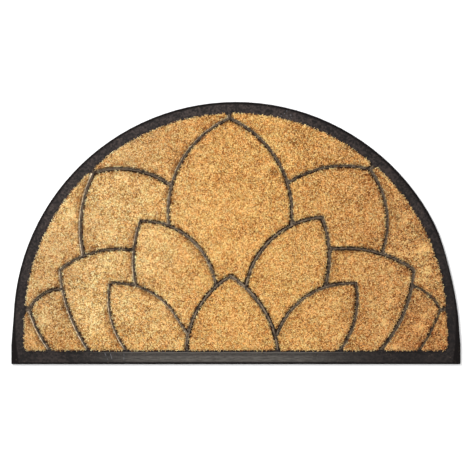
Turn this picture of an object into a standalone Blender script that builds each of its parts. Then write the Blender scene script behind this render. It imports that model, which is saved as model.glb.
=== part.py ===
"""Half-round doormat: a moulded rubber tray with coir pile in the pockets between its ribs.

Metres, +Z up, with the pile on top. X runs along the straight edge and Y from the straight edge to
the crown of the arc. The origin is on the surface that the mat lies on, under the mat's middle.
Plan sizes are measured from the middle of the straight edge, and placed() moves them to the origin.
"""
from math import atan2, ceil, cos, pi, radians, sin, sqrt
from typing import NamedTuple

import bmesh
import bpy
from mathutils import Vector
from mathutils.geometry import intersect_line_line_2d

# The whole mat
LENGTH = 0.750
DEPTH = 0.438
HALF_DEPTH = DEPTH / 2
ARC_RADIUS = 0.3715
ARC_CENTRE_Y = DEPTH - ARC_RADIUS
CHORD_HEIGHT = 0.00015  # how far an arc may rise above the straight steps that stand for it
OUTER_CORNER_RADIUS = 0.0012
CORNER_STEPS = 3
END_HEIGHT = 0.032  # each end runs straight back this far, and then in to where the arc starts
END_TURN = radians(2)
FLAT_END_TURN = radians(25)  # up to here the right shoulder's outer edge is flatter than the arc
FLAT_DEPTH = 0.0033

# The rubber tray
SHEET_THICKNESS = 0.003
BORDER_HEIGHT = 0.008
BORDER_WIDTH = 0.020
STRAIGHT_BORDER_WIDTH = 0.0238
BORDER_OUTER_ROUND = 0.003
BORDER_INNER_ROUND = 0.0007
ROUND_STEPS = 4
BEAD_HALF_WIDTH = 0.0009  # a low bead along the inner edge of the straight border
BEAD_INSET = 0.0042
BEAD_HEIGHT = 0.0085
WALL_DRAFT = 0.0006
POCKET_SHIFT_X = -0.0005  # the pocket lies a little left of the middle
POCKET_HALF_LENGTH = 0.3525
POCKET_RADIUS = ARC_RADIUS - BORDER_WIDTH
POCKET_CORNER_RADIUS = 0.006

# The ribs: rows of half width, as a share of the rib's own, and height, from the root up
RIB_SHAPE = ((1.35, 0.0015), (1.00, 0.0059), (0.88, 0.0068), (0.65, 0.0074), (0.30, 0.0077))
RIM_BITE = 0.003  # how far the nub at a petal's tip runs on into the border

# The coir pile
PILE_TOP = 0.012
GAP = 0.00035
PILE_BULGE = 0.0008
PILE_BULGE_Z = 0.0096
PILE_ROUND = 0.0014
# Rows of how far the pile's edge has drawn in, as a share of its round, and height
PILE_EDGE = ((0.0, PILE_BULGE_Z), (0.35, 0.0112), (1.0, PILE_TOP))

RUBBER_COLOUR = (0.042, 0.038, 0.035)
RUBBER_ROUGHNESS = 0.7
COIR_COLOUR_LEFT = (0.68, 0.41, 0.155)
COIR_COLOUR_RIGHT = (0.53, 0.27, 0.095)
COIR_ROUGHNESS = 0.95
SMOOTH_ANGLE = radians(35)


class Petal(NamedTuple):
    """A pointed petal seen from above: an arc from its tip down to each foot, bulging outwards.

    A tip close to the rim is joined to it by a nub, which widens towards the border. A right side
    with a run goes straight on past its foot.
    """

    name: str
    tip: tuple
    left_foot: tuple
    left_radius: float
    right_foot: tuple
    right_radius: float
    rib_width: float
    covered_by: tuple
    nub_width: float = 0.0
    right_run: float = 0.0


PETALS = (
    Petal("front", (-0.009, 0.148), (-0.082, 0.020), 0.148, (0.070, 0.020), 0.168, 0.0074,
          ()),
    Petal("low_left", (-0.210, 0.135), (-0.180, 0.020), 0.143, (-0.099, 0.079), 0.114, 0.0052,
          ("front",), right_run=0.060),
    Petal("low_right", (0.200, 0.135), (0.062, 0.025), 0.128, (0.170, 0.020), 0.140, 0.0066,
          ("front",)),
    Petal("middle_left", (-0.159, 0.239), (-0.164, 0.120), 0.200, (-0.033, 0.130), 0.123, 0.0063,
          ("low_left", "front")),
    Petal("middle_right", (0.143, 0.245), (0.016, 0.125), 0.137, (0.145, 0.120), 0.177, 0.0074,
          ("low_right", "front")),
    Petal("side_left", (-0.293, 0.157), (-0.243, 0.020), 0.267, (-0.149, 0.185), 0.154, 0.0062,
          ("middle_left",)),
    Petal("side_right", (0.296, 0.158), (0.138, 0.188), 0.195, (0.237, 0.020), 0.219, 0.0072,
          ("middle_right",)),
    Petal("end_left", (-0.344, 0.091), (-0.307, 0.020), 0.194, (-0.280, 0.125), 0.059, 0.0068,
          ("side_left",), 0.014),
    Petal("end_right", (0.341, 0.092), (0.272, 0.134), 0.078, (0.303, 0.020), 0.290, 0.0047,
          ("side_right",), 0.014),
    Petal("centre", (-0.011, 0.410), (-0.108, 0.215), 0.170, (0.089, 0.215), 0.172, 0.0064,
          ("middle_left", "middle_right"), 0.010),
    Petal("back_left", (-0.237, 0.319), (-0.251, 0.170), 0.203, (-0.091, 0.282), 0.140, 0.0072,
          ("side_left", "centre"), 0.014),
    Petal("back_right", (0.223, 0.325), (0.072, 0.291), 0.166, (0.239, 0.175), 0.148, 0.0063,
          ("side_right", "centre"), 0.012),
)


class Rib(NamedTuple):
    """A rib's middle line, seen from above, and its half widths at the shoulder where it starts and ends."""

    path: list
    half_width: float
    end_half_width: float


class Field(NamedTuple):
    """A coir field and a point inside it, seen from above."""

    name: str
    x: float
    y: float


FIELDS = (
    Field("coir_petal_centre", -0.010, 0.300),
    Field("coir_petal_front", -0.008, 0.080),
    Field("coir_petal_back_left", -0.190, 0.270),
    Field("coir_petal_back_right", 0.180, 0.270),
    Field("coir_petal_middle_left", -0.110, 0.190),
    Field("coir_petal_middle_right", 0.095, 0.190),
    Field("coir_petal_low_left", -0.150, 0.085),
    Field("coir_petal_low_right", 0.135, 0.085),
    Field("coir_petal_side_left", -0.240, 0.150),
    Field("coir_petal_side_right", 0.235, 0.150),
    Field("coir_petal_end_left", -0.308, 0.080),
    Field("coir_petal_end_right", 0.306, 0.080),
    Field("coir_ground_top_left", -0.130, 0.350),
    Field("coir_ground_top_right", 0.120, 0.355),
    Field("coir_ground_side_left", -0.290, 0.215),
    Field("coir_ground_side_right", 0.285, 0.215),
    Field("coir_ground_corner_left", -0.342, 0.045),
    Field("coir_ground_corner_right", 0.340, 0.045),
)


def clear_scene():
    """Start from an empty scene."""
    for leftover in list(bpy.data.objects):
        bpy.data.objects.remove(leftover, do_unlink=True)


def placed(x, y):
    """A point given from the middle of the straight edge, in the mat's own frame."""
    return Vector((x, y - HALF_DEPTH))


def steps_along(radius, angle):
    """How many straight steps stand for an arc, so that each stays within the chord height."""
    step_angle = 2 * sqrt(2 * CHORD_HEIGHT / radius)
    return max(2, ceil(angle / step_angle))


def corner(x, y, radius, first_angle):
    """A quarter turn that rounds the corner at x, y, starting with the side that faces first_angle."""
    reach_x = -radius if x > 0 else radius
    centre = placed(x + reach_x, y + radius)
    turns = (first_angle + pi / 2 * step / CORNER_STEPS for step in range(CORNER_STEPS + 1))
    return [centre + radius * Vector((cos(turn), sin(turn))) for turn in turns]


def half_round(radius, half_length, near_y, corner_radius, centre_x=0.0, flat_depth=0.0):
    """The half-round outline, anticlockwise from its left corner along the straight edge."""
    points = corner(centre_x - half_length, near_y, corner_radius, pi)
    points += corner(centre_x + half_length, near_y, corner_radius, 1.5 * pi)
    points.append(placed(centre_x + half_length, END_HEIGHT))
    centre = placed(centre_x, ARC_CENTRE_Y)
    count = 2 * steps_along(ARC_RADIUS, pi / 2)
    for step in range(count + 1):
        turn = END_TURN + (pi - 2 * END_TURN) * step / count
        flat_share = min(1.0, (turn - END_TURN) / (FLAT_END_TURN - END_TURN))
        reach = radius - flat_depth * sin(pi * flat_share)
        points.append(centre + reach * Vector((cos(turn), sin(turn))))
    points.append(placed(centre_x - half_length, END_HEIGHT))
    return points


def outer_outline(inset):
    """The mat's outline, drawn in by the inset."""
    radius = ARC_RADIUS - inset
    half_length = LENGTH / 2 - inset
    return half_round(radius, half_length, inset, OUTER_CORNER_RADIUS, flat_depth=FLAT_DEPTH)


def pocket_outline(inset):
    """The border's inner edge, drawn in by the inset."""
    near_y = STRAIGHT_BORDER_WIDTH + inset
    half_length = POCKET_HALF_LENGTH - inset
    return half_round(POCKET_RADIUS - inset, half_length, near_y, POCKET_CORNER_RADIUS, POCKET_SHIFT_X)


def skinned(name, rings):
    """A closed solid that runs through a row of closed rings, all lists of as many 3-D points."""
    solid = bmesh.new()
    loops = [[solid.verts.new(point) for point in ring] for ring in rings]
    for lower, upper in zip(loops, loops[1:]):
        for corners in zip(lower, lower[1:] + lower[:1], upper[1:] + upper[:1], upper):
            solid.faces.new(corners)
    for end in (loops[0], loops[-1]):
        solid.faces.new(end)
    bmesh.ops.recalc_face_normals(solid, faces=solid.faces)
    mesh = bpy.data.meshes.new(name)
    solid.to_mesh(mesh)
    solid.free()
    skinned_object = bpy.data.objects.new(name, mesh)
    bpy.context.collection.objects.link(skinned_object)
    return skinned_object


def level(points, z):
    """A plan outline lifted to a height."""
    return [Vector((point.x, point.y, z)) for point in points]


def quarter_round(radius):
    """Rows of how far a rounded edge has drawn in and how far it still lies below the top."""
    turns = (pi / 2 * step / ROUND_STEPS for step in range(ROUND_STEPS + 1))
    return [(radius * (1 - cos(turn)), radius * (1 - sin(turn))) for turn in turns]


def tray():
    """The sheet and its border: up the outer wall, over the border, down to the pocket's floor."""
    rings = [level(outer_outline(0.0), 0.0)]
    for inset, below in quarter_round(BORDER_OUTER_ROUND):
        rings.append(level(outer_outline(inset), BORDER_HEIGHT - below))
    for inset, below in reversed(quarter_round(BORDER_INNER_ROUND)):
        rings.append(level(pocket_outline(-inset), BORDER_HEIGHT - below))
    rings.append(level(pocket_outline(WALL_DRAFT), SHEET_THICKNESS))
    return skinned("rubber_base", rings)


def side_of(tip, foot, radius, centre_side):
    """The arc from a tip to a foot; its centre is on the left hand for +1, on the right for -1."""
    start = placed(*tip)
    chord = placed(*foot) - start
    left_hand = Vector((-chord.y, chord.x)).normalized()
    height = sqrt(radius ** 2 - (chord.length / 2) ** 2)
    centre = start + chord / 2 + centre_side * height * left_hand
    spoke = start - centre
    first_turn = atan2(spoke.y, spoke.x)
    whole_turn = centre_side * 2 * atan2(chord.length / 2, height)
    count = steps_along(radius, abs(whole_turn))
    turns = (first_turn + whole_turn * step / count for step in range(count + 1))
    return [centre + radius * Vector((cos(turn), sin(turn))) for turn in turns]


def sides_of(petal):
    """A petal's left and right sides, both from the tip down."""
    left = side_of(petal.tip, petal.left_foot, petal.left_radius, 1)
    right = side_of(petal.tip, petal.right_foot, petal.right_radius, -1)
    if petal.right_run:
        right.append(right[-1] + petal.right_run * (right[-1] - right[-2]).normalized())
    return left, right


def crossings(start, end, line):
    """Where the step from start to end crosses a line of points."""
    hits = (intersect_line_line_2d(start, end, near, far) for near, far in zip(line, line[1:]))
    return [hit for hit in hits if hit is not None]


def visible_part(side, covering):
    """A side from the tip down to the first covering line that crosses it."""
    kept = side[:1]
    for start, end in zip(side, side[1:]):
        hits = [hit for line in covering for hit in crossings(start, end, line)]
        if hits:
            kept.append(min(hits, key=lambda hit: (hit - start).length))
            return kept
        kept.append(end)
    return kept


def all_ribs():
    """One rib for each petal, and a nub from each tip that meets the rim."""
    sides = {petal.name: sides_of(petal) for petal in PETALS}
    ribs = []
    for petal in PETALS:
        half_width = petal.rib_width / 2
        covering = [line for name in petal.covered_by for line in sides[name]]
        left, right = (visible_part(side, covering) for side in sides[petal.name])
        ribs.append(Rib(left[::-1] + right[1:], half_width, half_width))
        if petal.nub_width:
            centre = placed(POCKET_SHIFT_X, ARC_CENTRE_Y)
            outwards = (left[0] - centre).normalized()
            rim_point = centre + (POCKET_RADIUS + RIM_BITE) * outwards
            ribs.append(Rib([left[0], rim_point], half_width, petal.nub_width / 2))
    return ribs


def swept(name, path, profile, end_profile):
    """A solid swept along a plan path, from one profile to the other.

    Each profile lists half widths and heights from the root up.
    """
    steps = [(end - start).normalized() for start, end in zip(path, path[1:])]
    across = [Vector((-step.y, step.x)) for step in steps]
    before = across[:1] + across
    after = across + across[-1:]
    rings = []
    for number, (point, left, right) in enumerate(zip(path, before, after)):
        share = number / len(steps)
        rows = [(half + share * (end - half), z) for (half, z), (end, _) in zip(profile, end_profile)]
        section = [(-half, z) for half, z in rows] + [(half, z) for half, z in reversed(rows)]
        mitre = (left + right).normalized()
        stretch = 1 / mitre.dot(left)
        plan = [(point + side * stretch * mitre, z) for side, z in section]
        rings.append([Vector((spot.x, spot.y, z)) for spot, z in plan])
    return skinned(name, rings)


def with_boolean(target, operation, tools):
    """Join the tools to the target or cut them from it, then take them away."""
    group = bpy.data.collections.new("tools")
    bpy.context.scene.collection.children.link(group)
    for tool in tools:
        tool.hide_render = True
        tool.display_type = "WIRE"
        bpy.context.collection.objects.unlink(tool)
        group.objects.link(tool)
    modifier = target.modifiers.new(operation.lower(), "BOOLEAN")
    modifier.operation = operation
    modifier.operand_type = "COLLECTION"
    modifier.collection = group
    modifier.solver = "EXACT"
    with bpy.context.temp_override(object=target):
        bpy.ops.object.modifier_apply(modifier=modifier.name)
    for tool in tools:
        bpy.data.objects.remove(tool, do_unlink=True)
    bpy.data.collections.remove(group)


def tidied(target):
    """Drop what a cut leaves behind: doubled points, and needless edges across flat faces."""
    weld_distance = 0.00002
    flat_angle = radians(0.5)
    mesh = bmesh.new()
    mesh.from_mesh(target.data)
    bmesh.ops.remove_doubles(mesh, verts=mesh.verts, dist=weld_distance)
    bmesh.ops.dissolve_degenerate(mesh, edges=mesh.edges, dist=weld_distance)
    bmesh.ops.dissolve_limit(mesh, angle_limit=flat_angle, verts=mesh.verts, edges=mesh.edges)
    mesh.to_mesh(target.data)
    mesh.free()


def finished(target, material):
    """Give a piece its material and smooth its round faces."""
    target.data.materials.clear()
    target.data.materials.append(material)
    target.data.shade_smooth()
    target.data.set_sharp_from_angle(angle=SMOOTH_ANGLE)


def plain_material(name, colour, roughness):
    """A plain surface with no metal in it."""
    material = bpy.data.materials.new(name)
    material.use_nodes = True
    shader = material.node_tree.nodes["Principled BSDF"]
    shader.inputs["Base Color"].default_value = (*colour, 1.0)
    shader.inputs["Roughness"].default_value = roughness
    shader.inputs["Metallic"].default_value = 0.0
    return material


def bead():
    """The bead along the inner edge of the straight border, between the pocket's corners."""
    reach = POCKET_HALF_LENGTH - POCKET_CORNER_RADIUS
    y = STRAIGHT_BORDER_WIDTH - BEAD_INSET
    path = [placed(POCKET_SHIFT_X - reach, y), placed(POCKET_SHIFT_X + reach, y)]
    root_z = BORDER_HEIGHT - BORDER_OUTER_ROUND
    profile = (
        (BEAD_HALF_WIDTH, root_z),
        (BEAD_HALF_WIDTH, BORDER_HEIGHT),
        (BEAD_HALF_WIDTH / 2, BEAD_HEIGHT),
    )
    return swept("bead", path, profile, profile)


def rib_profile(half_width):
    """A rib's half widths and heights."""
    return [(half_width * share, z) for share, z in RIB_SHAPE]


def rubber_base(ribs):
    """The one moulding: the tray, its bead and its ribs."""
    base = tray()
    raised = [bead()]
    for rib in ribs:
        profiles = rib_profile(rib.half_width), rib_profile(rib.end_half_width)
        raised.append(swept("rib", rib.path, *profiles))
    with_boolean(base, "UNION", raised)
    tidied(base)
    finished(base, plain_material("rubber", RUBBER_COLOUR, RUBBER_ROUGHNESS))


def coir_blank():
    """The pile before the ribs part it: it swells a little over the border and rounds off on top."""
    rings = [
        level(pocket_outline(WALL_DRAFT + GAP), SHEET_THICKNESS + GAP),
        level(pocket_outline(GAP), BORDER_HEIGHT + GAP),
    ]
    for share, z in PILE_EDGE:
        rings.append(level(pocket_outline(share * PILE_ROUND - PILE_BULGE), z))
    return skinned("coir", rings)


def slot_profile(half_width):
    """The half widths and heights of the slot round a rib, rounded where it comes out on top."""
    shoulder_z = RIB_SHAPE[1][1]
    wall = half_width + GAP
    profile = [(RIB_SHAPE[0][0] * half_width + GAP, SHEET_THICKNESS / 2), (wall, shoulder_z)]
    profile += [(wall + share * PILE_ROUND, z) for share, z in PILE_EDGE]
    profile.append((wall + 2 * PILE_ROUND, PILE_TOP + PILE_ROUND))
    return profile


def slot(rib):
    """The slot that parts the pile round a rib."""
    return swept("slot", rib.path, slot_profile(rib.half_width), slot_profile(rib.end_half_width))


def coir_colour(x):
    """The coir is golden on the left and browner on the right."""
    share = x / LENGTH + 0.5
    return [left + share * (right - left) for left, right in zip(COIR_COLOUR_LEFT, COIR_COLOUR_RIGHT)]


def coir_fields(ribs):
    """The pile parted by a slot round each rib, as one solid for each pocket."""
    pile = coir_blank()
    with_boolean(pile, "DIFFERENCE", [slot(rib) for rib in ribs])
    tidied(pile)
    with bpy.context.temp_override(active_object=pile, selected_editable_objects=[pile]):
        bpy.ops.mesh.separate(type="LOOSE")
    pieces = [piece for piece in bpy.data.objects if piece.name.startswith("coir")]
    for field in FIELDS:
        above = placed(field.x, field.y).to_3d() + Vector((0, 0, 2 * PILE_TOP))
        for piece in pieces:
            is_hit = piece.ray_cast(above, Vector((0, 0, -1)))[0]
            if is_hit:
                piece.name = field.name
                finished(piece, plain_material(field.name, coir_colour(field.x), COIR_ROUGHNESS))


clear_scene()
mat_ribs = all_ribs()
rubber_base(mat_ribs)
coir_fields(mat_ribs)
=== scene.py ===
"""Half-round doormat: the finishes, the coir pile, the floor, the lights and the camera.

Metres, +Z up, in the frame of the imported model: X along the straight edge, Y towards the arc's crown.
"""
from math import radians

import bpy
import numpy as np
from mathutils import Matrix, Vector
from mathutils.kdtree import KDTree


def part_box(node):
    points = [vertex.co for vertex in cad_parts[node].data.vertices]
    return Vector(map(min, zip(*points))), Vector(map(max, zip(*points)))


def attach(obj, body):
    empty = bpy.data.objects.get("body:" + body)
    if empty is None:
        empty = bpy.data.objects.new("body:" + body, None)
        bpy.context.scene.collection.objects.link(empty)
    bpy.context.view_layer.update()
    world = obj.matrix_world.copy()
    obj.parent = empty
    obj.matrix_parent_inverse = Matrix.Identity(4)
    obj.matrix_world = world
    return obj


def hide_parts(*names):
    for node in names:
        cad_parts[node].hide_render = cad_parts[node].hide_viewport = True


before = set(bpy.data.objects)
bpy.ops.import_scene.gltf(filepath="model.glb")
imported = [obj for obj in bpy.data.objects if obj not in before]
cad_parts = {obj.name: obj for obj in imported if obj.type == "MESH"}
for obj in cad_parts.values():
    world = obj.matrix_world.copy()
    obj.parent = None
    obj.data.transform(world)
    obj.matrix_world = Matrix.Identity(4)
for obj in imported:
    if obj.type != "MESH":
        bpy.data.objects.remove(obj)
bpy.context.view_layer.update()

# The rubber tray
# One moulding of black rubber: a sheet, its raised border and the ribs that draw the petals. Feet scuff
# the straight border and the ribs grey, with painted sheen and highlights on that grey in the middle of
# the border and along the crests. A painted highlight lies as a pale line on the ribs' outer shoulders,
# painted light makes the rubber paler at the back and the left, and painted shade keeps its rounded
# outer edge black.


class Value:
    """A socket of a finish that can be reckoned with: each operation adds its Math node."""

    def __init__(self, finish, socket):
        self.finish = finish
        self.socket = socket

    def reckoned(self, operation, *values):
        sockets = dict(enumerate(values))
        return self.finish.node("ShaderNodeMath", {"operation": operation}, sockets)

    def __add__(self, other):
        return self.reckoned("ADD", self, other)

    __radd__ = __add__

    def __sub__(self, other):
        return self.reckoned("SUBTRACT", self, other)

    def __rsub__(self, other):
        return self.reckoned("SUBTRACT", other, self)

    def __mul__(self, other):
        return self.reckoned("MULTIPLY", self, other)

    __rmul__ = __mul__

    def __abs__(self):
        return self.reckoned("ABSOLUTE", self)

    def rising(self, low, high):
        """0 up to the low value, 1 from the high one on, and a smooth rise in between."""
        settings = {"interpolation_type": "SMOOTHSTEP"}
        return self.finish.node("ShaderNodeMapRange", settings, {0: self, 1: low, 2: high})

    def falling(self, low, high):
        """1 up to the low value, 0 from the high one on, and a smooth fall in between."""
        return 1.0 - self.rising(low, high)


class Finish:
    """A material with one shader, made of nodes that all come from one method."""

    # A Mix node's sockets for the share and the two colours, and its output for a colour
    SHARE, LOW, HIGH, MIXED = 0, 6, 7, 2

    def __init__(self, name):
        self.material = bpy.data.materials.new(name)
        self.material.use_nodes = True
        self.tree = self.material.node_tree
        self.shader = self.tree.nodes["Principled BSDF"]
        self.place = self.node("ShaderNodeTexCoord", {}, {}, "Object")

    def node(self, kind, settings, sockets, output=0):
        """A node with its settings, its sockets' values or links, and the socket that it gives."""
        made = self.tree.nodes.new(kind)
        for name, setting in settings.items():
            setattr(made, name, setting)
        for name, value in sockets.items():
            if isinstance(value, Value):
                self.tree.links.new(value.socket, made.inputs[name])
            else:
                made.inputs[name].default_value = value
        return Value(self, made.outputs[output])

    def mixed(self, low, high, share):
        """A colour that runs from the low one to the high one."""
        sockets = {self.SHARE: share, self.LOW: low, self.HIGH: high}
        return self.node("ShaderNodeMix", {"data_type": "RGBA"}, sockets, self.MIXED)

    def tinted(self, colour, tint):
        """A colour multiplied by a tint."""
        settings = {"data_type": "RGBA", "blend_type": "MULTIPLY"}
        sockets = {self.SHARE: 1.0, self.LOW: colour, self.HIGH: tint}
        return self.node("ShaderNodeMix", settings, sockets, self.MIXED)

    def noise(self, size, detail=2.0, stretch=(1.0, 1.0, 1.0), roughness=0.5):
        """Soft random patches of a size in metres, stretched along an axis."""
        scale = tuple(1 / (size * factor) for factor in stretch)
        spot = self.node("ShaderNodeMapping", {}, {"Vector": self.place, "Scale": scale})
        sockets = {"Vector": spot, "Scale": 1.0, "Detail": detail, "Roughness": roughness}
        return self.node("ShaderNodeTexNoise", {}, sockets)

    def axes(self):
        """The place's three coordinates."""
        return [self.node("ShaderNodeSeparateXYZ", {}, {0: self.place}, axis) for axis in "XYZ"]

    def away_from(self, point):
        """The distance from a point."""
        sockets = {0: self.place, 1: point}
        return self.node("ShaderNodeVectorMath", {"operation": "DISTANCE"}, sockets, "Value")

    def carried(self, name):
        """A value that the mesh carries at its points."""
        return self.node("ShaderNodeAttribute", {"attribute_name": name}, {}, "Fac")

    def bump(self, height, distance, under=None):
        """A Normal that follows a height, which rises by the distance in metres from 0 to 1."""
        sockets = {"Height": height, "Distance": distance, "Strength": 1.0}
        if under is not None:
            sockets["Normal"] = under
        return self.node("ShaderNodeBump", {}, sockets)

    def feeds(self, **inputs):
        """Feed the shader's sockets, named with their spaces left out."""
        named = {socket.name.replace(" ", ""): socket for socket in self.shader.inputs}
        for name, value in inputs.items():
            if isinstance(value, Value):
                self.tree.links.new(value.socket, named[name])
            else:
                named[name].default_value = value


tray_low, tray_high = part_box("rubber_base")
FRONT_Y = tray_low[1]
ARC_CENTRE = (-0.0005, FRONT_Y + 0.0665, 0.0)
MAT_MIDDLE = (0.0, -0.029, 0.0)

# Where each zone of the tray fades in or out: metres back from the front edge, out from the arc's
# centre, up from the floor, or along the straight edge
TREAD_FROM, TREAD_FALLS, TREAD_TO = (0.0032, 0.0055), (0.0130, 0.0150), (0.0204, 0.0210)
BEAD_FROM, BEAD_LEVEL = (0.0180, 0.0185), (0.0081, 0.0084)
TROD_FROM, TROD_TO = (-0.290, -0.110), (0.060, 0.250)
FRONT_ROUNDING, ARC_ROUNDING = (0.0022, 0.0042), (0.3655, 0.3690)
POCKETS_FROM, POCKETS_TO = (0.0236, 0.0244), (0.3505, 0.3515)
CREST_LEVEL = (0.00762, 0.00770)
PALE_FROM_LEVEL, PALE_TO_LEVEL = (0.0020, 0.0040), (0.0072, 0.0077)

BLACK = (0.0030, 0.0020, 0.0019, 1.0)
WORN = (0.033, 0.0240, 0.0216, 1.0)
SCUFF_AND_SHEEN = (0.067, 0.061, 0.054, 1.0)
POLISH_AND_HIGHLIGHT = (0.255, 0.198, 0.138, 1.0)
SHOULDER_HIGHLIGHT = (0.93, 0.75, 0.53, 1.0)
BROWNED = (0.014, 0.0060, 0.0022, 1.0)
CHALKY = (0.15, 0.16, 0.18, 1.0)
DUST = (0.13, 0.10, 0.065, 1.0)

rubber = Finish("rubber")
x, y, z = rubber.axes()
from_front = y - FRONT_Y
blotches = rubber.noise(size=0.060, detail=3.0)
mottle = rubber.noise(size=0.008, detail=4.0, roughness=0.6)
speckle = rubber.noise(size=0.0032, detail=2.0, roughness=0.6)
crumb = rubber.noise(size=0.0011, detail=3.0, roughness=0.7)
drag = rubber.noise(size=0.0020, detail=3.0, stretch=(7.0, 1.0, 1.0), roughness=0.6)

from_arc_centre = rubber.away_from(ARC_CENTRE)
from_middle = rubber.away_from(MAT_MIDDLE)
inside = from_arc_centre.falling(*POCKETS_TO) * from_front.rising(*POCKETS_FROM)
# The rounded outer edge: kept black, free of the browned patches, as painted shade, and rougher
shaded_edge = 1.0 - from_arc_centre.falling(*ARC_ROUNDING) * from_front.rising(*FRONT_ROUNDING)
# The middle of the straight border, trodden and given a painted sheen
trodden_and_sheen = x.falling(*TROD_TO) * x.rising(*TROD_FROM)

# Old rubber is browned in patches, painted stronger at the left and at the back as painted light from
# the upper left, and it is dusted brown in its pockets
patchy = (0.20 * blotches + 0.20 * mottle + 0.60 * speckle).rising(0.40, 0.64)
lit_from_back_left = 0.35 + 0.45 * y.rising(-0.130, 0.050) + 0.20 * x.falling(-0.05, 0.30)
colour = rubber.mixed(BLACK, WORN, patchy * lit_from_back_left * (1.0 - shaded_edge) * (1.0 - inside))
colour = rubber.mixed(colour, BROWNED, inside * (0.30 + 0.70 * speckle.rising(0.40, 0.60)))

# Soles drag grey streaks along the tread of the straight border and wear the bead behind it grey. The
# grey is strongest in the middle of the border, where it is also painted sheen, and on the bead it is
# also a painted highlight
on_tread = from_front.rising(*TREAD_FROM) * (1.0 - 0.45 * from_front.rising(*TREAD_FALLS))
on_tread = on_tread * from_front.falling(*TREAD_TO)
bead_wear_and_highlight = z.rising(*BEAD_LEVEL) * from_front.rising(*BEAD_FROM)
streaks = 0.34 + 0.62 * drag.rising(0.30, 0.72)
colour = rubber.mixed(colour, SCUFF_AND_SHEEN, on_tread * trodden_and_sheen * streaks + bead_wear_and_highlight * trodden_and_sheen)

# They polish the ribs' crests, and a painted highlight lies along them, most round the middle of the
# mat and behind its straight border
by_middle = from_middle.falling(0.10, 0.20)
low_middle = trodden_and_sheen * x.rising(-0.150, -0.060) * y.falling(-0.130, 0.020)
crest_patches = (0.5 * mottle + 0.5 * speckle).rising(0.36, 0.60)
polish_and_highlight = 0.30 + 0.14 * by_middle + 0.14 * low_middle
colour = rubber.mixed(colour, POLISH_AND_HIGHLIGHT, inside * z.rising(*CREST_LEVEL) * crest_patches * polish_and_highlight)

# A pale painted highlight lies along the ribs' outer shoulders, strongest towards the rim, and on
# shoulders that look to the left, towards the key light
shoulder = inside * rubber.carried("outer") * z.rising(*PALE_FROM_LEVEL) * z.falling(*PALE_TO_LEVEL)
towards_rim = 0.65 + 0.55 * from_middle.rising(0.10, 0.24)
highlight_speckle = 0.34 + 0.66 * speckle.rising(0.42, 0.58)
colour = rubber.mixed(colour, SHOULDER_HIGHLIGHT, shoulder * towards_rim * highlight_speckle)

# Flecks of dust lie all over, and chalky ones where the border was rubbed near the crown
FLECK_SCALE = 260.0
ABRASION = (0.085, FRONT_Y + 0.418, 0.008)
flecks = rubber.node("ShaderNodeTexVoronoi", {}, {"Vector": rubber.place, "Scale": FLECK_SCALE})
fleck = flecks.falling(0.10, 0.22)
colour = rubber.mixed(colour, DUST, 0.4 * fleck * mottle.rising(0.52, 0.60))
abraded = rubber.away_from(ABRASION).falling(0.006, 0.014)
colour = rubber.mixed(colour, CHALKY, 0.8 * fleck * abraded)

# Thin scratches cross the straight border: the x where each meets the front edge, and its drift in x
# for each metre back
SCRATCHES = ((-0.2105, -0.43), (-0.1868, 0.0), (-0.2040, -0.30))
scratched = from_front.rising(0.0065, 0.0075) * from_front.falling(0.0185, 0.0200)
for start, drift in SCRATCHES:
    scratch = abs(x - start - drift * from_front).falling(0.0002, 0.0006) * scratched
    colour = rubber.mixed(colour, CHALKY, 0.5 * scratch * speckle.rising(0.35, 0.60))

relief = rubber.bump(crumb, distance=0.00022)
relief = rubber.bump(mottle, distance=0.0006, under=relief)
rubber.feeds(
    BaseColor=colour,
    Roughness=0.48 + 0.16 * mottle - 0.06 * trodden_and_sheen * on_tread + 0.30 * shaded_edge + 0.20 * inside,
    Normal=relief,
    SpecularIORLevel=0.10,
)

ROUND_ANGLE = radians(40)
MERGE_DISTANCE = 0.00001


def only(piece):
    """Select this piece alone and make it the active one."""
    bpy.ops.object.select_all(action="DESELECT")
    bpy.context.view_layer.objects.active = piece
    piece.select_set(True)


def applied(piece, kind, **settings):
    """Add a modifier and apply it."""
    modifier = piece.modifiers.new(kind.lower(), kind)
    for name, setting in settings.items():
        setattr(modifier, name, setting)
    only(piece)
    bpy.ops.object.modifier_apply(modifier=modifier.name)


def merged_copy(node, name):
    """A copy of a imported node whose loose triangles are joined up."""
    piece = bpy.data.objects.new(name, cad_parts[node].data.copy())
    bpy.context.collection.objects.link(piece)
    piece.data.materials.clear()
    only(piece)
    bpy.ops.mesh.customdata_custom_splitnormals_clear()
    bpy.ops.object.mode_set(mode="EDIT")
    bpy.ops.mesh.select_all(action="SELECT")
    bpy.ops.mesh.remove_doubles(threshold=MERGE_DISTANCE)
    bpy.ops.object.mode_set(mode="OBJECT")
    return piece


def carry(mesh, name, values):
    """Let a mesh carry a value at each of its points."""
    mesh.attributes.new(name, "FLOAT", "POINT").data.foreach_set("value", values)


SHOULDER_LOW = 0.0010
SHOULDER_HIGH = 0.0076
LEAST_OUTER = 0.28
plan_middle = Vector(MAT_MIDDLE).xy


def outwardness(place, normal):
    """1 for a normal that looks straight away from the mat's middle in plan, -1 for one towards it."""
    return (place.xy - plan_middle).normalized().dot(normal.xy.normalized())


def leftwardness(place, normal):
    """How much a shoulder looks out of the mat, and above all out to its left."""
    return max(0.0, outwardness(place, normal)) * max(LEAST_OUTER, -normal.xy.normalized().x)


tray = merged_copy("rubber_base", "tray")
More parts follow.
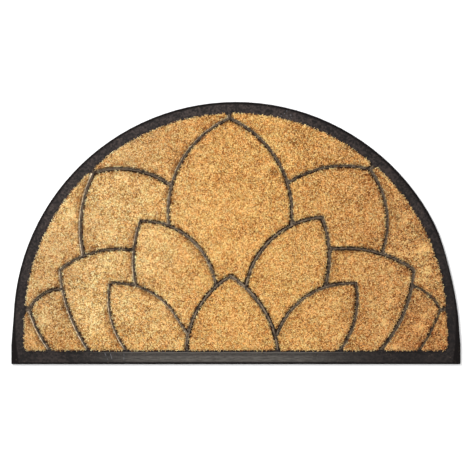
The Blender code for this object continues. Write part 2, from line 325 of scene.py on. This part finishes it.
# Where the painted highlight on the ribs' shoulders lies: those that look out of the mat, most to the
# left
outer = [
    leftwardness(spot.co, spot.normal) * (SHOULDER_LOW < spot.co.z < SHOULDER_HIGH)
    for spot in tray.data.vertices
]
carry(tray.data, "outer", outer)
only(tray)
bpy.ops.object.shade_smooth_by_angle(angle=ROUND_ANGLE)
applied(tray, "WEIGHTED_NORMAL", keep_sharp=True, weight=80)
tray.data.materials.append(rubber.material)
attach(tray, "root")
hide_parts("rubber_base")

# The bodies of the coir pile
# Coconut-husk fibre is packed upright into each pocket in small tufts and bonded to the sheet. Below
# the sheared tips it is a dense brown mass, painted darker than the tips as shade down among the
# fibres, and it stops short of the ribs.

MID_LEVEL = 0.0060
BODY_DROP = 0.0022
BODY_INSET = 0.0001
BODY_VOXEL = 0.0030
LUMP_SIZE = 0.006
LUMP_HEIGHT = 0.0009
STEEP = 0.8
UPRIGHT = 0.5
FLAT_ANGLE = radians(12)

# Dark knots and stains, paler tufts, and broad patches of a slightly different tone: x and y from the
# middle of the straight edge and the radius, in metres, and how much darker or paler the coir is there
MARKS = (
    (0.079, 0.228, 0.0040, -0.90),
    (0.063, 0.320, 0.0070, -0.40),
    (0.143, 0.332, 0.0040, -0.55),
    (0.185, 0.360, 0.0060, -0.35),
    (-0.296, 0.156, 0.0060, -0.45),
    (-0.286, 0.095, 0.0050, -0.50),
    (-0.169, 0.210, 0.0040, -0.50),
    (-0.233, 0.193, 0.0060, -0.40),
    (-0.114, 0.292, 0.0050, -0.50),
    (-0.263, 0.232, 0.0060, -0.35),
    (-0.166, 0.375, 0.0050, -0.40),
    (0.288, 0.263, 0.0050, -0.40),
    (-0.318, 0.076, 0.0080, 0.30),
    (-0.274, 0.252, 0.0070, 0.40),
    (-0.141, 0.220, 0.0070, 0.35),
    (0.305, 0.063, 0.0080, 0.55),
    (0.312, 0.193, 0.0080, 0.50),
    (0.258, 0.103, 0.0070, 0.45),
    (0.282, 0.240, 0.0070, 0.40),
    (0.266, 0.028, 0.0050, 0.50),
    (0.334, 0.058, 0.0040, 0.35),
    (0.315, 0.081, 0.0060, 0.50),
    (0.290, 0.142, 0.0050, 0.45),
    (0.337, 0.032, 0.0120, 0.20),
    (0.318, 0.157, 0.0060, 0.45),
    (0.260, 0.160, 0.0040, 0.60),
    (0.273, 0.186, 0.0045, 0.45),
    (0.247, 0.070, 0.0045, 0.35),
    (-0.190, 0.172, 0.0300, -0.15),
    (-0.108, 0.280, 0.0150, -0.18),
    (-0.045, 0.337, 0.0130, -0.20),
    (0.095, 0.378, 0.0200, -0.13),
    (0.222, 0.112, 0.0130, -0.12),
    (-0.040, 0.118, 0.0330, 0.18),
    (-0.042, 0.200, 0.0300, 0.23),
    (-0.045, 0.268, 0.0200, 0.12),
    (-0.130, 0.158, 0.0240, 0.14),
    (-0.165, 0.072, 0.0130, 0.16),
    (0.105, 0.245, 0.0260, 0.13),
    (0.060, 0.060, 0.0200, 0.15),
    (0.165, 0.100, 0.0200, 0.14),
    (0.200, 0.182, 0.0240, 0.12),
    (-0.135, 0.390, 0.0200, -0.15),
)

coir_nodes = sorted(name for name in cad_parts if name.startswith("coir_"))


def marked_tone(points):
    """How pale the marks leave the coir at each plan point, from 0 for dark to 1 for straw."""
    tone = np.full(len(points), 0.5)
    for mark_x, mark_y, radius, change in MARKS:
        far = np.linalg.norm(points - (mark_x, mark_y + FRONT_Y), axis=1)
        tone += change * np.exp(-((far / radius) ** 2))
    return tone


def points_of(mesh):
    """A mesh's points as an array."""
    points = np.empty(len(mesh.vertices) * 3)
    mesh.vertices.foreach_get("co", points)
    return points.reshape(-1, 3)


def edges_of(mesh):
    """How far each point is from the nearest wall in plan, and how much that wall looks outwards."""
    walls = [spot for spot in mesh.vertices if spot.co.z < MID_LEVEL and abs(spot.normal.z) < UPRIGHT]
    tree = KDTree(len(walls))
    for number, spot in enumerate(walls):
        tree.insert((spot.co.x, spot.co.y, 0.0), number)
    tree.balance()
    turns = [outwardness(spot.co, spot.normal) for spot in walls]
    found = [tree.find((spot.co.x, spot.co.y, 0.0)) for spot in mesh.vertices]
    return [far for _, _, far in found], [turns[number] for _, number, _ in found]


lumps = bpy.data.textures.new("lumps", "CLOUDS")
lumps.noise_scale = LUMP_SIZE
lumps.noise_depth = 1


def packed_body(node):
    """A pocket's pile below its tips: the solid drawn in, sunk and lumpy on top."""
    body = merged_copy(node, node.replace("coir_", "pile_"))
    applied(body, "REMESH", mode="VOXEL", voxel_size=BODY_VOXEL)
    applied(body, "DISPLACE", strength=-BODY_INSET, mid_level=0.0)
    upper = body.vertex_groups.new(name="upper")
    for vertex in body.data.vertices:
        if vertex.co.z > MID_LEVEL:
            upper.add([vertex.index], (vertex.co.z - MID_LEVEL) / MID_LEVEL, "REPLACE")
    applied(body, "DISPLACE", direction="Z", strength=-BODY_DROP, mid_level=0.0, vertex_group="upper")
    applied(
        body, "DISPLACE", direction="Z", strength=LUMP_HEIGHT, mid_level=0.5,
        texture=lumps, texture_coords="LOCAL", vertex_group="upper",
    )
    body.vertex_groups.clear()
    for face in body.data.polygons:
        face.select = face.normal.z < -STEEP
    bpy.ops.object.mode_set(mode="EDIT")
    bpy.ops.mesh.select_mode(type="FACE")
    bpy.ops.mesh.dissolve_limited(angle_limit=FLAT_ANGLE)
    bpy.ops.object.mode_set(mode="OBJECT")
    body.data.shade_smooth()
    carry(body.data, "tone", marked_tone(points_of(body.data)[:, :2]))
    inward, turned = edges_of(body.data)
    carry(body.data, "inward", inward)
    carry(body.data, "turned", turned)
    return body


DARK = (0.20, 0.084, 0.024, 1.0)
GOLDEN = (0.785, 0.505, 0.180, 1.0)
STRAW = (1.0, 0.91, 0.54, 1.0)
PLAIN = (1.0, 1.0, 1.0, 1.0)
MIDDLE_TINT = (0.94, 0.79, 0.60, 1.0)
RIGHT_TINT = (0.81, 0.605, 0.50, 1.0)
DEEP_TINT = (0.62, 0.49, 0.41, 1.0)
RIM_TINT = (0.865, 0.81, 0.78, 1.0)
BEHIND_RIB_SHADE_TINT = (0.84, 0.74, 0.66, 1.0)
LOW_LEFT_TINT = (0.94, 0.86, 0.75, 1.0)
RIGHT_END_TINT = (0.92, 0.815, 0.75, 1.0)
RED_TINT = (1.0, 0.905, 0.85, 1.0)
GREEN_TINT = (0.93, 1.0, 0.98, 1.0)
EDGE_HIGHLIGHT_TINT = (1.0, 0.99, 0.96, 1.0)
WALL_SHADE_TINT = (0.60, 0.48, 0.38, 1.0)
HUSK_SHADE_TINT = (0.74, 0.64, 0.54, 1.0)
EVEN_CONTRAST = 1.12
EDGE_PAINTED_SHADE = 0.10
EDGE_HIGHLIGHT_LIFT = 0.40
EDGE_BAND = 0.0062
TURNED_BAND = 0.0016
DRIFT_STRENGTH = 0.7
PATCH_STRENGTH = 0.5
GRAIN_STRENGTH = 3.0


def coir_colour(finish, shade):
    """Coir from dark brown through gold to straw: palest at the left, darker beside the rubber."""
    x, y = finish.axes()[:2]
    inward = finish.carried("inward")
    turned = finish.carried("turned")
    at_right = x.rising(0.20, 0.33)

    # The tones differ more at the right and at the left tip, and the coir just outside a rib gets a
    # pale painted highlight along its edge
    livelier = 0.20 * x.rising(-0.05, 0.15) + 0.30 * x.rising(0.20, 0.34)
    livelier = livelier + 0.20 * x.falling(-0.34, -0.26)
    shade = 0.5 + (shade - 0.5) * (EVEN_CONTRAST + livelier)
    # Painted shade: the coir darkens towards the rubber walls
    shade = shade - EDGE_PAINTED_SHADE * inward.falling(0.003, 0.020)
    edge_highlight = turned.falling(-0.7, -0.1) * inward.falling(0.0012, 0.0022)
    shade = shade + EDGE_HIGHLIGHT_LIFT * edge_highlight
    colour = finish.mixed(DARK, GOLDEN, 2.0 * shade)
    colour = finish.mixed(colour, STRAW, 2.0 * shade - 1.0)

    # Towards the right the coir is redder, but its palest fibres less so
    tint = finish.mixed(PLAIN, MIDDLE_TINT, x.rising(-0.25, 0.0))
    not_pale = 1.0 - (0.35 + 0.40 * at_right) * shade.rising(0.6, 1.1)
    tint = finish.mixed(tint, RIGHT_TINT, x.rising(0.05, 0.36) * not_pale)

    # The darkest fibres, the ends and the left rim are browner, and the coir outside the left ribs is
    # browned as painted shade
    deep = (0.15 + 0.85 * at_right) * shade.falling(0.0, 0.5)
    by_left_rim = finish.away_from(ARC_CENTRE).rising(0.23, 0.31) * x.falling(-0.12, 0.02)
    by_left_rim = by_left_rim * (1.0 - 0.75 * y.rising(0.0, 0.05) * y.falling(0.08, 0.13))
    low_left = y.falling(-0.190, -0.130) * x.falling(-0.20, -0.08)
    right_end = y.falling(-0.165, -0.085) * x.rising(0.24, 0.30)
    shade_behind_rib = turned.falling(-0.8, 0.0) * inward.falling(0.004, 0.012) * x.falling(-0.15, 0.0)
    stains = (
        (DEEP_TINT, deep),
        (RIM_TINT, by_left_rim),
        (LOW_LEFT_TINT, low_left),
        (RIGHT_END_TINT, right_end),
        (BEHIND_RIB_SHADE_TINT, shade_behind_rib),
    )
    for stain, share in stains:
        tint = finish.tinted(tint, finish.mixed(PLAIN, stain, share))

    hue = finish.noise(size=0.007, detail=3.0, roughness=0.6).rising(0.34, 0.66)
    tint = finish.tinted(tint, finish.mixed(RED_TINT, GREEN_TINT, hue))
    # Painted shade: right at the walls the coir is browned, over a wider band where the wall faces the
    # mat's middle
    shaded = EDGE_BAND - TURNED_BAND * turned
    tint = finish.tinted(tint, finish.mixed(WALL_SHADE_TINT, PLAIN, inward.rising(0.0, shaded)))
    # The painted highlight along the coir's edge outside a rib, weaker to the right
    tint = finish.mixed(tint, EDGE_HIGHLIGHT_TINT, edge_highlight * (1.0 - 0.30 * x.rising(-0.10, 0.15)))
    return finish.tinted(colour, tint)


def drifted(finish):
    """The tone that the mesh carries, with the drifts and patches that cross the whole mat."""
    drifts = finish.noise(size=0.045, detail=2.0)
    patches = finish.noise(size=0.010, detail=2.0)
    drifting = DRIFT_STRENGTH * (drifts - 0.5)
    return finish.carried("tone") + drifting + PATCH_STRENGTH * (patches - 0.5)


# The pile's body is painted darker than the fibres' tips, as shade down among them
husk = Finish("coir_husk")
grain = husk.noise(size=0.0022, detail=3.0, roughness=0.7)
husk_shade = drifted(husk) + GRAIN_STRENGTH * (grain - 0.5)
husk.feeds(
    BaseColor=husk.tinted(coir_colour(husk, husk_shade), HUSK_SHADE_TINT),
    Roughness=0.95,
    Normal=husk.bump(grain, distance=0.0012),
    SpecularIORLevel=0.15,
)

bodies = {}
for node in coir_nodes:
    body = packed_body(node)
    body.data.materials.append(husk.material)
    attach(body, "root")
    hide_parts(node)
    bodies[node] = body

# The fibres
# The pile's tips are stiff coir fibres, sheared level. Those of a tuft lean together, and along the
# ribs and the border they splay out, except where feet press them back behind the straight border.

FIBRES_PER_SQUARE_METRE = 0.93e6
ROOT_DEPTH = 0.0007
THINNEST = 0.00044
THICKEST = 0.00085
SHORTEST = 0.0014
LONGEST = 0.0050
TUFT_LEAN = 0.26
FIBRE_LEAN = 0.26
FIBRE_TONE = 0.50
TUFT_TONE = 0.62
THIN_BIAS = 1.5
UP_FACING = 0.5
SIDE_FACING = -0.2
SIDE_LEVEL = 0.0070
SMALLEST_AREA = 1e-12
EDGE_SPLAY = 0.17
OUTER_SPLAY = 0.5
PRESSED_SPLAY = 2.0
EDGE_REACH = 0.0030
EDGE_FREEDOM = 0.35
PRESSED_REACH = 0.160
PRESSED_DEPTH = 0.130
MAP_CELL = 0.0011
SHEAR_UNEVEN = 0.00035
TIP_LEVEL = 0.0121
TUFT = 0.0016
SPARE_ROWS = 3
MAT_CORNER = np.array(tray_low[:2])
MAT_SPAN = np.array(tray_high[:2]) - MAT_CORNER

random = np.random.default_rng(seed=20)
tuft_rows = tuple(np.ceil(MAT_SPAN / TUFT).astype(int) + SPARE_ROWS)
tuft_middles = random.random((*tuft_rows, 2))
tuft_leans = random.normal(0.0, 1.0, (*tuft_rows, 2))
tuft_tones = random.normal(0.0, 1.0, tuft_rows)
tuft_reaches = random.normal(0.0, 1.0, tuft_rows)


def tuft_of(points):
    """The row and column of the tuft that each plan point belongs to: the nearest middle's."""
    cell = np.floor((points - MAT_CORNER) / TUFT).astype(int)
    best = np.full(len(points), np.inf)
    chosen = np.zeros((len(points), 2), dtype=int)
    for step in np.ndindex(3, 3):
        near = cell + np.array(step)
        middles = MAT_CORNER + (near - 1 + tuft_middles[near[:, 0], near[:, 1]]) * TUFT
        far = np.linalg.norm(points - middles, axis=1)
        closer = far < best
        best[closer] = far[closer]
        chosen[closer] = near[closer]
    return chosen[:, 0], chosen[:, 1]


def roots_on(mesh):
    """Where fibres leave a body, with the faces' normals and the body's edge values there."""
    mesh.calc_loop_triangles()
    numbers = np.empty(len(mesh.loop_triangles) * 3, dtype=int)
    mesh.loop_triangles.foreach_get("vertices", numbers)
    numbers = numbers.reshape(-1, 3)
    corners = points_of(mesh)[numbers]
    across = np.cross(corners[:, 1] - corners[:, 0], corners[:, 2] - corners[:, 0])
    double_area = np.linalg.norm(across, axis=1)
    normals = across / np.maximum(double_area, SMALLEST_AREA)[:, None]
    level = corners[:, :, 2].mean(axis=1)
    bushy = (normals[:, 2] > UP_FACING) | ((normals[:, 2] > SIDE_FACING) & (level > SIDE_LEVEL))
    reach = np.cumsum(double_area / 2 * bushy)
    count = int(reach[-1] * FIBRES_PER_SQUARE_METRE)
    stops = (np.arange(count) + random.random(count)) * reach[-1] / count
    face = np.minimum(np.searchsorted(reach, stops), len(reach) - 1)
    first, second = random.random(count), random.random(count)
    folded = first + second > 1
    first[folded], second[folded] = 1 - first[folded], 1 - second[folded]
    shares = np.stack([first, second, 1 - first - second], axis=1)
    spots = (shares[:, :, None] * corners[face]).sum(axis=1)
    edge = {}
    for name in ("inward", "turned"):
        values = np.empty(len(mesh.vertices))
        mesh.attributes[name].data.foreach_get("value", values)
        edge[name] = (shares * values[numbers[face]]).sum(axis=1)
    return spots, normals[face], edge


def mesh_of(name, points, faces):
    """A mesh of triangles from arrays of points and of corner numbers."""
    mesh = bpy.data.meshes.new(name)
    mesh.vertices.add(len(points))
    mesh.vertices.foreach_set("co", points.ravel())
    mesh.loops.add(faces.size)
    mesh.loops.foreach_set("vertex_index", faces.ravel())
    mesh.polygons.add(len(faces))
    mesh.polygons.foreach_set("loop_start", np.arange(0, faces.size, 3))
    mesh.update(calc_edges=True)
    return mesh


def unit(vectors):
    """The vectors, each brought to a length of 1."""
    return vectors / np.linalg.norm(vectors, axis=1)[:, None]


def spread(mesh, places, cell):
    """Lay each fibre or strand out in a flat map, as a small cell round its own place in plan."""
    flat = (places[:, None] + cell * MAP_CELL).reshape(-1, 2)
    flat = (flat - flat.min(axis=0)) / np.ptp(flat, axis=0).max()
    corners = np.empty(len(mesh.loops), dtype=int)
    mesh.loops.foreach_get("vertex_index", corners)
    mesh.uv_layers.new(name="OFBake").uv.foreach_set("vector", flat[corners].ravel())


SLIVER = np.array([(0, 1, 2), (0, 3, 1), (1, 3, 2), (0, 2, 3)])
SLIVER_POINTS = 4
FIBRE_CELL = np.array([(-0.5, -0.4), (0.5, -0.4), (-0.35, 0.45), (0.35, 0.45)])


def fibres_on(node):
    """A field's fibres as one mesh: each is a sliver with a flat root and a flat cut tip across it."""
    spots, normals, edge = roots_on(bodies[node].data)
    count = len(spots)
    tuft = tuft_of(spots[:, :2])
    lean = TUFT_LEAN * tuft_leans[tuft] + FIBRE_LEAN * random.normal(0.0, 1.0, (count, 2))
    freedom = np.clip(edge["inward"] / EDGE_REACH, EDGE_FREEDOM, 1.0)
    pressed = np.clip(1 - abs(spots[:, 0]) / PRESSED_REACH, 0, 1)
    pressed *= np.clip(1 - (spots[:, 1] - FRONT_Y) / PRESSED_DEPTH, 0, 1)
    splay = EDGE_SPLAY * (1.0 + OUTER_SPLAY * edge["turned"] - PRESSED_SPLAY * pressed)
    sideways = freedom[:, None] * lean + splay[:, None] * normals[:, :2]
    way = unit(np.column_stack([sideways, np.ones(count)]))
    roots = spots - ROOT_DEPTH * way
    level = TIP_LEVEL + SHEAR_UNEVEN * (random.normal(0.0, 1.0, count) + tuft_reaches[tuft])
    length = np.clip((level - roots[:, 2]) / way[:, 2], SHORTEST, LONGEST)
    tips = roots + way * length[:, None]
    thick = THINNEST + (THICKEST - THINNEST) * random.random(count) ** THIN_BIAS
    turn = random.random(count) * 2 * np.pi
    around = np.column_stack([np.cos(turn), np.sin(turn), np.zeros(count)])
    flat = unit(np.cross(way, around))
    across = np.cross(way, flat)
    half = thick[:, None] / 2
    root_ends = [roots - half * flat, roots + half * flat]
    tip_ends = [tips - half * across, tips + half * across]
    points = np.stack(root_ends + tip_ends, axis=1)
    faces = (np.arange(count)[:, None, None] * SLIVER_POINTS + SLIVER).reshape(-1, 3)
    mesh = mesh_of(node.replace("coir_", "fibres_"), points.reshape(-1, 3), faces)
    tone = marked_tone(spots[:, :2]) + TUFT_TONE * tuft_tones[tuft]
    tone += FIBRE_TONE * random.normal(0.0, 1.0, count)
    carry(mesh, "tone", np.repeat(tone, SLIVER_POINTS))
    carry(mesh, "rise", np.tile([0.0, 0.0, 1.0, 1.0], count))
    for name, values in edge.items():
        carry(mesh, name, np.repeat(values, SLIVER_POINTS))
    spread(mesh, spots[:, :2], FIBRE_CELL)
    piece = bpy.data.objects.new(mesh.name, mesh)
    bpy.context.collection.objects.link(piece)
    return piece


coir = Finish("coir")
# Painted shade: each fibre darkens towards its root, down among the others
ROOT_SHADE_TINT = (0.34, 0.26, 0.20, 1.0)
rise = coir.carried("rise").rising(-0.2, 0.7)
coir.feeds(
    BaseColor=coir.tinted(coir_colour(coir, drifted(coir)), coir.mixed(ROOT_SHADE_TINT, PLAIN, rise)),
    Roughness=0.60,
    SpecularIORLevel=0.3,
)

for node in coir_nodes:
    fibres = fibres_on(node)
    fibres.data.materials.append(coir.material)
    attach(fibres, "root")

# The loose strands
# Long strands of coir come loose in use. They lie bent across the tips with an end sunk among them,
# and a few reach over a rib or the border.

STRANDS_PER_SQUARE_METRE = 26000
STRAND_SHORTEST = 0.0045
STRAND_LONGEST = 0.0110
STRAND_THINNEST = 0.00042
STRAND_THICKEST = 0.00070
STRAND_LEVEL = 0.0122
STRAND_SINK = 0.0012
STRAND_BEND = 0.16
STRAND_TONE = 0.85
SHORT_BIAS = 2

# How far along a strand each of its tips and rings is, how much it is bent aside and how deep it sinks
STRAND_KNOTS = ((-0.5, 0.0, 1.0), (-0.2, 1.0, 0.0), (0.2, 1.0, 0.0), (0.5, 0.0, 0.4))
RING = np.array([(1.0, 0.0), (-0.5, 0.866), (-0.5, -0.866)])
SPINDLE = np.array([
    (0, 1, 2), (0, 2, 3), (0, 3, 1),
    (1, 5, 2), (1, 4, 5), (2, 6, 3), (2, 5, 6), (3, 4, 1), (3, 6, 4),
    (7, 5, 4), (7, 6, 5), (7, 4, 6),
])
SPINDLE_POINTS = 8
SPINDLE_CELL = np.array([
    (-0.5, 0.0), (-0.2, -0.3), (-0.2, 0.0), (-0.2, 0.3),
    (0.2, -0.3), (0.2, 0.0), (0.2, 0.3), (0.5, 0.0),
])


def strands_over(name):
    """Bent spindles over all fields as one mesh, each of two rings of three points between two tips."""
    fields = [roots_on(bodies[node].data) for node in coir_nodes]
    spots = np.concatenate([field[0] for field in fields])
    edge = {key: np.concatenate([field[2][key] for field in fields]) for key in ("inward", "turned")}
    count = int(len(spots) * STRANDS_PER_SQUARE_METRE / FIBRES_PER_SQUARE_METRE)
    chosen = random.choice(len(spots), count, replace=False)
    heading = random.random(count) * 2 * np.pi
    along = np.column_stack([np.cos(heading), np.sin(heading), np.zeros(count)])
    aside = np.column_stack([-np.sin(heading), np.cos(heading), np.zeros(count)])
    length = STRAND_SHORTEST + (STRAND_LONGEST - STRAND_SHORTEST) * random.random(count) ** SHORT_BIAS
    bend = STRAND_BEND * random.normal(0.0, 1.0, count) * length
    middle = np.column_stack([spots[chosen, :2], np.full(count, STRAND_LEVEL)])
    knots = []
    up = np.array([0.0, 0.0, 1.0])
    for share, sideways, sink in STRAND_KNOTS:
        bent = (share * length)[:, None] * along + (sideways * bend)[:, None] * aside
        knots.append(middle + bent - sink * STRAND_SINK * up)
    thick = STRAND_THINNEST + (STRAND_THICKEST - STRAND_THINNEST) * random.random(count)
    rings = (RING[None, :, :1] * up + RING[None, :, 1:] * aside[:, None]) * thick[:, None, None] / 2
    points = np.concatenate([
        knots[0][:, None], knots[1][:, None] + rings, knots[2][:, None] + rings, knots[3][:, None],
    ], axis=1)
    faces = (np.arange(count)[:, None, None] * SPINDLE_POINTS + SPINDLE).reshape(-1, 3)
    mesh = mesh_of(name, points.reshape(-1, 3), faces)
    tone = STRAND_TONE + FIBRE_TONE * random.normal(0.0, 1.0, count)
    carry(mesh, "tone", np.repeat(tone, SPINDLE_POINTS))
    carry(mesh, "rise", np.ones(SPINDLE_POINTS * count))
    for key, values in edge.items():
        carry(mesh, key, np.repeat(values[chosen], SPINDLE_POINTS))
    spread(mesh, spots[chosen, :2], SPINDLE_CELL)
    piece = bpy.data.objects.new(name, mesh)
    bpy.context.collection.objects.link(piece)
    return piece


strands = strands_over("loose_strands")
strands.data.materials.append(coir.material)
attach(strands, "root")

# The floor, the light and the camera
# The mat lies on a plain white floor, flat and held by nothing. Soft light falls on it from the upper
# left, and it is seen from straight above.

FLOOR_WHITE = (0.72, 0.72, 0.72, 1.0)
FLOOR_SIDE = 12.0
SKY_WHITE = (1.0, 1.0, 1.0, 1.0)
SKY_STRENGTH = 0.66

bpy.ops.object.select_all(action="DESELECT")
bpy.ops.mesh.primitive_plane_add(size=FLOOR_SIDE, location=(0, 0, 0))
floor = bpy.context.active_object
floor.name = "floor"
floor_finish = Finish("floor")
floor_finish.feeds(BaseColor=FLOOR_WHITE, Roughness=0.9, SpecularIORLevel=0.1)
floor.data.materials.append(floor_finish.material)

world = bpy.data.worlds.new("studio")
bpy.context.scene.world = world
world.use_nodes = True
sky = world.node_tree.nodes["Background"]
sky.inputs["Color"].default_value = SKY_WHITE
sky.inputs["Strength"].default_value = SKY_STRENGTH


def soft_light(name, place, target, sides, power):
    """A rectangular soft light that faces a point."""
    bpy.ops.object.light_add(type="AREA", location=place)
    light = bpy.context.active_object
    light.name = name
    light.data.shape = "RECTANGLE"
    light.data.size, light.data.size_y = sides
    light.data.energy = power
    towards = Vector(target) - Vector(place)
    light.rotation_euler = towards.to_track_quat("-Z", "Y").to_euler()


soft_light("key", place=(-1.0, 0.9, 1.9), target=(0.0, 0.0, 0.0), sides=(0.7, 0.7), power=75.5)
soft_light("fill", place=(0.9, -0.8, 1.9), target=(0.0, 0.0, 0.0), sides=(0.9, 0.9), power=14.0)
soft_light("front", place=(-0.05, -0.44, 2.2), target=(0.0, -0.1, 0.0), sides=(0.5, 0.16), power=10.0)

CAMERA_HEIGHT = 3.0
OUTLINE_LEVEL = 0.005
VIEW_WIDTH = 0.7847
VIEW_CENTRE = (-0.0015, -0.0033)
SENSOR = 36.0

bpy.ops.object.camera_add(location=(*VIEW_CENTRE, CAMERA_HEIGHT), rotation=(0, 0, 0))
camera = bpy.context.active_object
camera.name = "camera"
camera.data.sensor_width = SENSOR
camera.data.lens = SENSOR * (CAMERA_HEIGHT - OUTLINE_LEVEL) / VIEW_WIDTH
bpy.context.scene.camera = camera
bpy.context.scene.view_settings.view_transform = "Standard"
